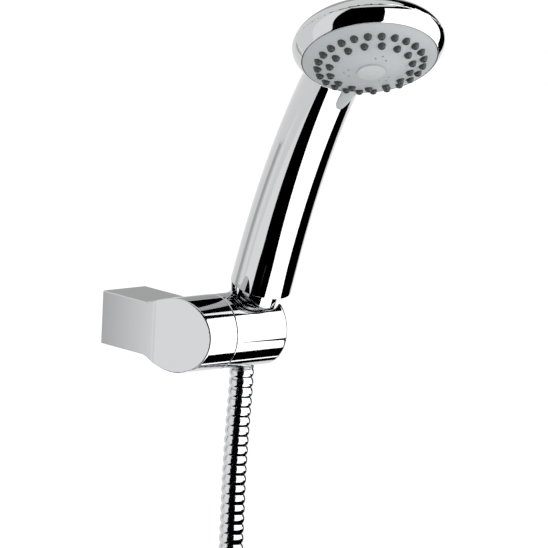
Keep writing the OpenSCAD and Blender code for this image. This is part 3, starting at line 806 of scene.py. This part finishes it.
# %% Nozzles
DOME_R = 79.45
DOME_Z = 9.3 - DOME_R


def dome_at(radius):
    """Height of the face plate's dome at this distance from its centre."""
    return DOME_Z + math.sqrt(DOME_R**2 - radius**2)


NOZZLE_OUTLINE = rounded(
    [(2.3, -1.2), (2.2, 0.0), (2.05, 0.8), (1.75, 1.7), (1.2, 2.1), (0.7, 2.15),
     (0.55, 1.9), (0.5, 0.9), (0.02, 0.9)], 0.45
)


def nozzle_ring(name, count, ring_r, start_deg, nodes):
    """A ring of nozzles as one piece."""
    points, faces, normals = spun(NOZZLE_OUTLINE, 28)
    all_points, all_faces = [], []
    for i in range(count):
        angle = math.radians(start_deg + 360.0 * i / count)
        move = [ring_r * math.cos(angle), ring_r * math.sin(angle), dome_at(ring_r)]
        all_points.append(points + move)
        all_faces.append(faces + i * len(points))
    return add_piece(
        name, to_row(np.vstack(all_points), on_face), np.vstack(all_faces), "selector",
        silicone, nodes, np.tile(normals, (count, 1)) @ on_face[:3, :3].T,
    )


outer_nozzles = nozzle_ring("outer_nozzles_silicone", 24, 29.3, 7.7, ["outer_nozzles"])
inner_nozzles = nozzle_ring("inner_nozzles_silicone", 15, 23.0, 22.7, ["inner_nozzles"])

# %% [markdown]
# The selector lever is a small tongue at the edge of the face that the thumb pushes.
# It has a ridge down its middle, so that one side faces the light and the other
# does not. It is lofted from a few cross sections and rounds off at its tip.

# %% Selector lever
def lever_section(y, half, low, ridge, shoulder):
    """One cross section of the lever, from its left foot over the ridge."""
    slope = 0.5 * (shoulder + ridge) + 0.12
    return [(-half, y, low), (-half, y, shoulder), (-0.55 * half, y, slope), (0.0, y, ridge),
            (0.55 * half, y, slope), (half, y, shoulder), (half, y, low)]


LEVER = [
    (-29.5, 3.75, 0.6, 4.9, 3.9), (-33.0, 3.7, 0.5, 4.9, 3.7), (-38.0, 3.45, 0.45, 4.9, 3.4),
    (-43.0, 3.1, 0.45, 4.8, 3.2), (-47.0, 2.7, 0.5, 4.6, 3.0), (-49.6, 2.3, 0.7, 4.2, 2.8),
    (-51.0, 1.7, 1.0, 3.7, 2.6), (-51.8, 0.9, 1.5, 3.1, 2.4),
]
sections = np.array([lever_section(*s) for s in LEVER])
rows, columns = sections.shape[:2]
lever_faces = [
    (r * columns + c, (r + 1) * columns + c, (r + 1) * columns + (c + 1) % columns,
     r * columns + (c + 1) % columns)
    for r in range(rows - 1) for c in range(columns)
]
last = rows * columns
lever_faces += [tuple(range(columns)), tuple(range(last - 1, last - columns - 1, -1))]
lever = add_piece(
    "selector_lever_ridged", to_row(sections.reshape(-1, 3), on_face), lever_faces,
    "selector", lever_grey, ["selector_lever"],
)
soften = lever.modifiers.new("soften", "BEVEL")
soften.width = 0.00035
soften.segments = 3
soften.limit_method = "ANGLE"
soften.angle_limit = math.radians(24)
bpy.context.view_layer.update()

# %% [markdown]
# ## The wall bracket
# The block is square, and the arm is a fat round bar through its end. A fillet joins
# the two, and the arm's left end is sliced off at a slant into a flat disc. The slice
# runs back a little way into the block's left side.

# %% Bracket shape
BLOCK_HALF_W, BLOCK_HALF_H = 15.5, 15.0
DISC_X = -10.5
DISC_SLANT = math.radians(22.0)
DRUM_X1 = 17.2
ARM_FILLET = 6.0
EDGE = 0.7


def bracket_distance(p):
    """The block with the arm across its end, hollowed for the wall plate."""
    x, y, z = p.T
    block = box_2d(y + REACH / 2, z, REACH / 2, BLOCK_HALF_H)
    arm = np.hypot(y + REACH, z - ARM_Z) - ARM_R
    profile = round_join(block, arm, ARM_FILLET)
    body = round_cut(profile, np.abs(x) - BLOCK_HALF_W, EDGE)
    drum = round_cut(arm, np.abs(x - (DRUM_X1 - 8)) - 8, 0.35)
    slanted = -(x - DISC_X) * math.cos(DISC_SLANT) - (y + REACH) * math.sin(DISC_SLANT)
    body = round_cut(np.minimum(body, drum), slanted, EDGE)
    body = np.maximum(body, y)
    hollow = np.maximum(box_2d(x, z, 12.5, 12.0), -30.0 - y)
    grub = np.maximum(np.hypot(x, y + 9.0) - 2.0, z + 6.0)
    return np.maximum(body, -np.minimum(hollow, grub))


bracket_skin = cast_piece(
    "bracket_cast", bracket_distance, (-17, -82, -24), (19, 1.2, 22),
    0.55, on_row, "bracket", cast_chrome,
    ["bracket_body"],
)

# %% [markdown]
# ## The holder
# The holder is the same fat bar, and turns on the bracket's arm. A leaning cone goes
# through it for the nut, with a slot on the right that the hose passes through, and
# a raised tongue behind that guides the handle's foot. Both mouths of the cone flare.

# %% Holder shape
HOLDER_X0, HOLDER_X1 = 17.5, 54.5
GAP = 0.3
CONE_SLOPE = (CONE_TOP_R - CONE_BOT_R) / (HANDLE_BOT - NUT_BOT)
row_to_socket = np.linalg.inv(on_socket)


def cone_at(u):
    """Radius of the nut's cone at this height."""
    return CONE_BOT_R + (u - NUT_BOT) * CONE_SLOPE


def holder_distance(p):
    """The turning drum with its socket, slot and tongue."""
    x, y, z = p.T
    bar = np.hypot(y + REACH, z - ARM_Z) - ARM_R
    drum = round_cut(bar, x - HOLDER_X1, 3.0)
    drum = round_cut(drum, HOLDER_X0 - x, 0.35)
    s, t, u = (p @ row_to_socket[:3, :3].T + row_to_socket[:3, 3]).T
    r = np.hypot(s, t)
    tongue = r - (17.0 - (26.4 - u) * 0.22)
    wedge = 0.5 * np.abs(s) - 0.866 * t
    tongue = round_cut(round_cut(tongue, wedge, 0.8), u - 26.4, 0.5)
    tongue = np.maximum(tongue, 4.0 - u)
    body = round_join(drum, tongue, 2.5)
    flare_up = np.maximum(u - 14.0, 0) * (3.2 / 14.0)
    flare_down = np.maximum(-13.0 - u, 0) * (5.0 / 12.0)
    socket = r - (cone_at(u) + GAP + flare_up + flare_down)
    slot = np.maximum(np.abs(t) - 8.5, -s)
    return round_cut(body, -np.minimum(socket, slot), 0.6)


holder_skin = cast_piece(
    "holder_cast", holder_distance, (16.5, -82, -24), (56, -30, 30),
    0.42, on_row, "holder", cast_chrome,
    ["holder_drum"],
)

# %% [markdown]
# ## The hose's far end
# The hose ends in a hexagon nut that screws onto the shower valve. Its six corners
# are turned off at both ends, as on a nut cut from bar. A plain strap holds the coil
# together, looped once round all its turns.

# %% End nut
TAIL = np.array(Matrix.Translation((1.2, -85.0, -366.0)) @ Matrix.Rotation(math.pi, 4, "X"))
NUT_FLAT_R = 12.0
END_NUT_LEN = 17.5
END_NUT_BOT = 6.3


def end_nut_distance(p):
    """A hexagon with turned corners and a threaded bore."""
    x, y, z = p.T
    z = z - END_NUT_BOT
    hexagon = np.max(
        [np.abs(x * math.cos(a) + y * math.sin(a)) for a in np.radians([30, 90, 150])], axis=0
    ) - NUT_FLAT_R
    r = np.hypot(x, y)
    low = (r - 13.0) * 0.5 - z * 0.866
    high = (r - 13.0) * 0.5 - (END_NUT_LEN - z) * 0.866
    body = round_cut(hexagon, np.abs(z - END_NUT_LEN / 2) - END_NUT_LEN / 2, 0.3)
    body = np.maximum(body, np.maximum(low, high))
    thread = 0.25 * np.abs(((z + np.arctan2(y, x) / (2 * math.pi) * 1.8) / 1.8) % 1 - 0.5)
    bore = np.maximum(r - 10.35 - thread, 10.2 - z)
    return np.maximum(body, -np.minimum(bore, r - 6.1))


end_nut = cast_piece(
    "hose_end_nut_hex", end_nut_distance, (-15, -15, 5.5), (15, 15, 25),
    0.45, TAIL, "hose_end", turned_chrome,
    ["hose_end_nut"],
)

# %% Strap
STRAP_STEPS = 64
STRAP_SQUARENESS = 0.36
STRAP_T = 0.0011
tie_low, tie_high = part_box("coil_tie")
tie_middle = (tie_low + tie_high) / 2
tie_half = (tie_high - tie_low) / 2
half_wide = tie_half.z * 0.98
strap_points, strap_faces = [], []
for i in range(STRAP_STEPS):
    angle = 2 * math.pi * i / STRAP_STEPS
    c, s = (
        math.copysign(abs(v) ** STRAP_SQUARENESS, v) for v in (math.cos(angle), math.sin(angle))
    )
    for inset, height in (
        (0.0, -half_wide), (0.0, half_wide), (STRAP_T, half_wide), (STRAP_T, -half_wide)
    ):
        strap_points.append(
            (tie_middle.x + c * (tie_half.x - inset), tie_middle.y + s * (tie_half.y - inset),
             tie_middle.z + height)
        )
    j = (i + 1) % STRAP_STEPS
    for k in range(4):
        strap_faces.append((4 * i + (k + 1) % 4, 4 * j + (k + 1) % 4, 4 * j + k, 4 * i + k))
strap = add_piece(
    "coil_strap", strap_points, strap_faces, "bracket",
    strap_weave, ["coil_tie"],
)
strap_edges = strap.modifiers.new("edges", "BEVEL")
strap_edges.width = 0.0004
strap_edges.segments = 2

# %% [markdown]

# %% [markdown]
# ## Finishes on the CAD parts that stay
# The parts inside keep their CAD shape, because it is already right for a turned
# pin, a washer or a spring. The face plate and its cap keep theirs too. They all get
# a finish of their own here.

# %% Finishes by slot
SLOT_FINISH = {
    "chrome_zinc": cast_chrome, "chrome_plastic": moulded_chrome,
    "chrome_brass": turned_chrome, "hose_metal": hose_chrome, "steel": bare_steel,
    "brass": bare_brass, "face_grey": satin_grey, "lever_grey": lever_grey,
    "nozzle_rubber": silicone, "seal_rubber": black_rubber,
    "inner_plastic": natural_plastic, "dark_plastic": dark_moulding,
    "strap_black": strap_weave,
}
slot_of = {part["node"]: part["material_slot"] for part in frame["record"]["subparts"]}
for name, node in frame["nodes"].items():
    finish = SLOT_FINISH[slot_of[name]]
    node.data.materials.clear()
    node.data.materials.append(finish)
print("CAD nodes with a finish:", len(frame["nodes"]))

# %% [markdown]
# ## Studio
# Chrome shows the room more than itself. So the studio is a white room with a large
# bright softbox at the right, a dark surround behind it, and dark cards where the
# black bands on the handle come from. A few small cards stand near the bracket, where
# its flat sides and underside need a tone of their own. Only mirrors see the cards.

# %% Room
world = bpy.data.worlds.new("white_room")
world.use_nodes = True
world.node_tree.nodes["Background"].inputs["Color"].default_value = (1, 1, 1, 1)
world.node_tree.nodes["Background"].inputs["Strength"].default_value = 1.0
bpy.context.scene.world = world
bpy.context.scene.view_settings.view_transform = "Standard"


def glow(name, strength):
    """A card that gives light, or swallows it at strength 0."""
    material = bpy.data.materials.new(name)
    material.use_nodes = True
    nodes = material.node_tree.nodes
    nodes.clear()
    emission = nodes.new("ShaderNodeEmission")
    emission.inputs["Strength"].default_value = strength
    out = nodes.new("ShaderNodeOutputMaterial")
    material.node_tree.links.new(emission.outputs[0], out.inputs["Surface"])
    return material


ROOM_CENTRE = Vector((0.02, -0.1, 0.05))


def add_card(name, points, faces, material):
    """A card that only mirrors see."""
    mesh = bpy.data.meshes.new(name)
    mesh.from_pydata([tuple(p) for p in points], [], faces)
    mesh.materials.append(material)
    item = bpy.data.objects.new(name, mesh)
    bpy.context.scene.collection.objects.link(item)
    item.visible_camera = False
    item.visible_diffuse = False
    item.visible_shadow = False
    return item


def curved_card(name, low_az, high_az, elevations, radius, material):
    """A card curved round the set, with its left and right azimuths at its foot and its
    head. Azimuth 0 is in front, and 90 is at the right."""
    columns, rows = 28, 20
    points, faces = [], []
    for j in range(rows + 1):
        v = j / rows
        sides = [low + (high - low) * v for low, high in zip(low_az, high_az)]
        e = math.radians(elevations[0] + (elevations[1] - elevations[0]) * v)
        for i in range(columns + 1):
            a = math.radians(sides[0] + (sides[1] - sides[0]) * i / columns)
            way = Vector((math.sin(a) * math.cos(e), -math.cos(a) * math.cos(e), math.sin(e)))
            points.append(ROOM_CENTRE + radius * way)
    for j in range(rows):
        for i in range(columns):
            k = j * (columns + 1) + i
            faces.append((k, k + 1, k + columns + 2, k + columns + 1))
    return add_card(name, points, faces, material)


def low_card(name, corners, depth, material):
    """A flat card under the set, with its corners as slopes of x and y to its depth."""
    points = [ROOM_CENTRE + depth * Vector((x, y, -1.0)) for x, y in corners]
    return add_card(name, points, [tuple(range(len(points)))], material)


bright = glow("softbox_glow", 2.4)
black = glow("card_black", 0.0)
faint = glow("card_faint", 0.1)
shade = glow("card_shade", 0.48)
pale = glow("card_pale", 1.15)
curved_card("dark_surround", (-82, 96), (-82, 140), (-57, 53), 6.0, black)
curved_card("softbox_right", (-21, 88), (-10, 80), (-41, 39), 5.6, bright)
curved_card("faint_streak", (-54, -50), (-50, -48), (-52, -24), 5.5, faint)
curved_card("pale_left", (-116, -83), (-116, -83), (-50, 40), 6.2, pale)
curved_card("shade_behind", (118, 165), (118, 165), (2, 32), 6.2, shade)
low_card(
    "low_dark", [(-0.3, -1.5), (-1.7, -1.3), (-1.83, -0.32), (-0.88, 0.44), (-0.2, 0.95),
                 (0.5, 0.75), (1.25, 0.4), (2.4, -0.1), (2.4, -0.6)], 3.2, black,
)
low_card(
    "low_softbox", [(-0.44, -1.4), (-0.42, 0.1), (-0.1, 0.42), (0.3, 0.42), (1.1, 0.1),
                    (2.0, -0.27), (1.6, -1.4)], 3.0, bright,
)
add_card(
    "under_arm", [(-0.02, -0.1445, -0.131), (0.27, -0.1445, -0.131), (0.27, -0.0575, -0.156),
                  (-0.02, -0.0575, -0.156)], [(0, 1, 2, 3)], black,
)
add_card(
    "under_handle", [(0.235, -0.32, -0.14), (0.42, -0.32, -0.14), (0.42, -0.05, -0.14),
                     (0.235, -0.05, -0.14)], [(0, 1, 2, 3)], black,
)


def fading_glow(name, near_y, far_y, near, far):
    """A card whose light fades along Y."""
    material = glow(name, 1.0)
    nodes, links = material.node_tree.nodes, material.node_tree.links
    emission = next(n for n in nodes if n.type == "EMISSION")
    place = nodes.new("ShaderNodeTexCoord")
    split = nodes.new("ShaderNodeSeparateXYZ")
    ramp = nodes.new("ShaderNodeMapRange")
    links.new(place.outputs["Object"], split.inputs[0])
    links.new(split.outputs["Y"], ramp.inputs["Value"])
    for socket, value in zip(
        ("From Min", "From Max", "To Min", "To Max"), (near_y, far_y, near, far)
    ):
        ramp.inputs[socket].default_value = value
    links.new(ramp.outputs["Result"], emission.inputs["Strength"])
    return material


fading = fading_glow("card_fading", 0.06, 0.125, 1.1, 0.58)
add_card(
    "beside_block", [(-0.11, 0.02, -0.13), (-0.11, 0.25, -0.13), (-0.11, 0.25, 0.05),
                     (-0.11, 0.02, 0.05)], [(0, 1, 2, 3)], fading,
)

# %% Floor and light
FLOOR_Z = -0.43
FLOOR_HALF = 60
floor_material = bpy.data.materials.new("pale_floor")
floor_material.use_nodes = True
floor_shader = floor_material.node_tree.nodes["Principled BSDF"]
floor_shader.inputs["Base Color"].default_value = (0.9, 0.9, 0.9, 1)
floor_shader.inputs["Roughness"].default_value = 0.9
floor_shader.inputs["Specular IOR Level"].default_value = 0.1
floor_shader.inputs["Emission Color"].default_value = (1, 1, 1, 1)
floor_shader.inputs["Emission Strength"].default_value = 0.12
floor_mesh = bpy.data.meshes.new("floor")
floor_mesh.from_pydata(
    [(x * FLOOR_HALF, y * FLOOR_HALF, FLOOR_Z) for x, y in ((-1, -1), (1, -1), (1, 1), (-1, 1))],
    [], [(0, 1, 2, 3)],
)
floor_mesh.materials.append(floor_material)
floor = bpy.data.objects.new("floor", floor_mesh)
bpy.context.scene.collection.objects.link(floor)
floor.visible_glossy = False


def area_light(name, place, size, power):
    """A soft light aimed at the set."""
    data = bpy.data.lights.new(name, "AREA")
    data.shape = "SQUARE"
    data.size = size
    data.energy = power
    lamp = bpy.data.objects.new(name, data)
    bpy.context.scene.collection.objects.link(lamp)
    lamp.location = place
    lamp.rotation_euler = (ROOM_CENTRE - Vector(place)).to_track_quat("-Z", "Y").to_euler()
    lamp.visible_glossy = False
    return lamp


area_light("key", (1.6, -1.8, 0.6), 1.2, 22.0)
area_light("fill", (-1.8, -1.2, 1.4), 1.6, 14.0)
print("studio ready")
